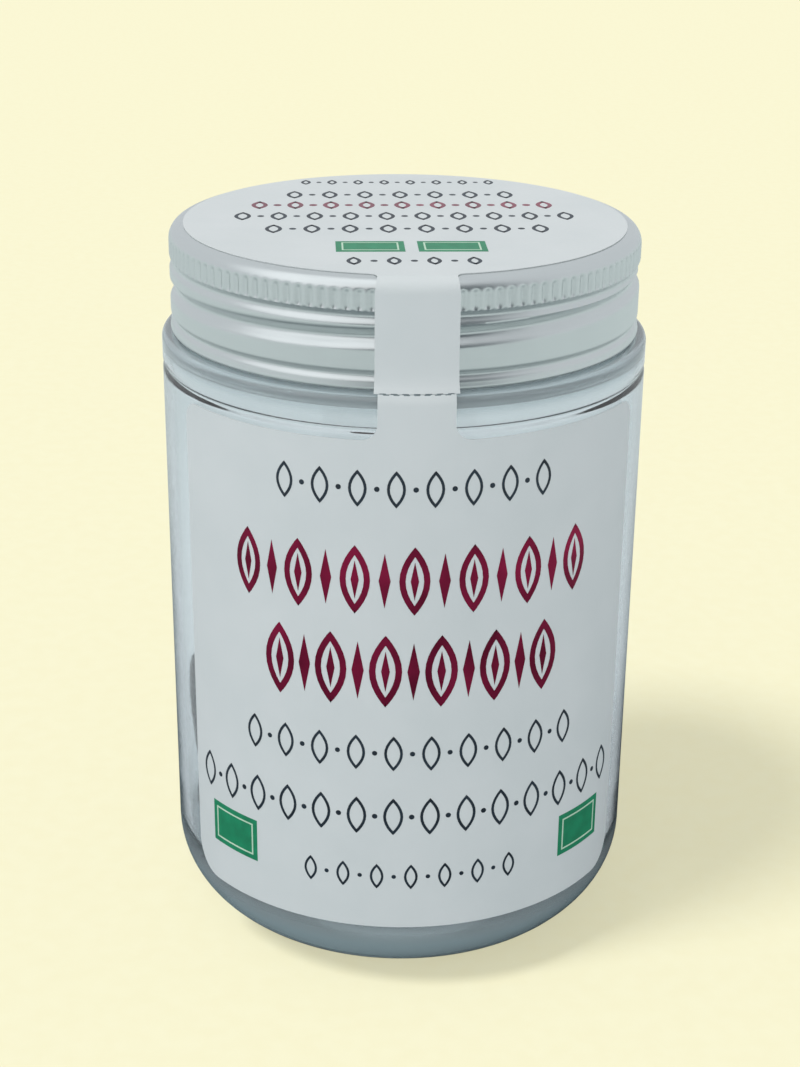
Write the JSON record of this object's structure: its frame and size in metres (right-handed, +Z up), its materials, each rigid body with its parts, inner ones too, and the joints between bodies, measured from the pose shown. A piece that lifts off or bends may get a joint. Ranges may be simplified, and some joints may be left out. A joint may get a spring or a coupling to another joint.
{
  "type": "jar of tonka beans",
  "caption": "Clear round jar with a screw-on aluminium cap, foam liner, paper seal label and dried tonka beans inside.",
  "frame": {"origin": "centre of the jar's base, on the surface that it stands on", "axes": "+Z up along the jar's axis, -Y towards the middle of the front label"},
  "size_m": [0.062, 0.0624, 0.0949],
  "materials": {
    "clear_pet": "clear, glossy and slightly hazed",
    "satin_aluminium": "satin, finely brushed",
    "foam": "matt white foam",
    "paper": "matt white label paper, printed",
    "bean": "wrinkled, near black, faintly oily"
  },
  "bodies": {
    "jar": {"jar": "clear_pet", "front_label": "paper", "bean_01": "bean", "bean_02": "bean", "bean_03": "bean", "bean_04": "bean", "bean_05": "bean", "bean_06": "bean", "bean_07": "bean", "bean_08": "bean", "bean_09": "bean", "bean_10": "bean", "bean_11": "bean", "bean_12": "bean", "bean_13": "bean", "bean_14": "bean", "bean_15": "bean", "bean_16": "bean", "bean_17": "bean", "bean_18": "bean", "bean_19": "bean", "bean_20": "bean", "bean_21": "bean", "bean_22": "bean", "bean_23": "bean"},
    "liner": {"liner": "foam"},
    "cap": {"cap": "satin_aluminium", "top_label": "paper"}
  },
  "joints": [
    {"name": "liner_lift", "type": "slide", "parent": "jar", "child": "liner", "axis": [0, 0, 1], "range_m": [0, 0.0053]},
    {"name": "cap_turn", "type": "hinge", "parent": "liner", "child": "cap", "pos_m": [0, 0, 0.09], "axis": [0, 0, 1], "range_deg": [0, 450]}
  ],
  "couplings": [
    {"joint": "liner_lift", "follows": "cap_turn", "m_per_rad": 0.00067375}
  ]
}
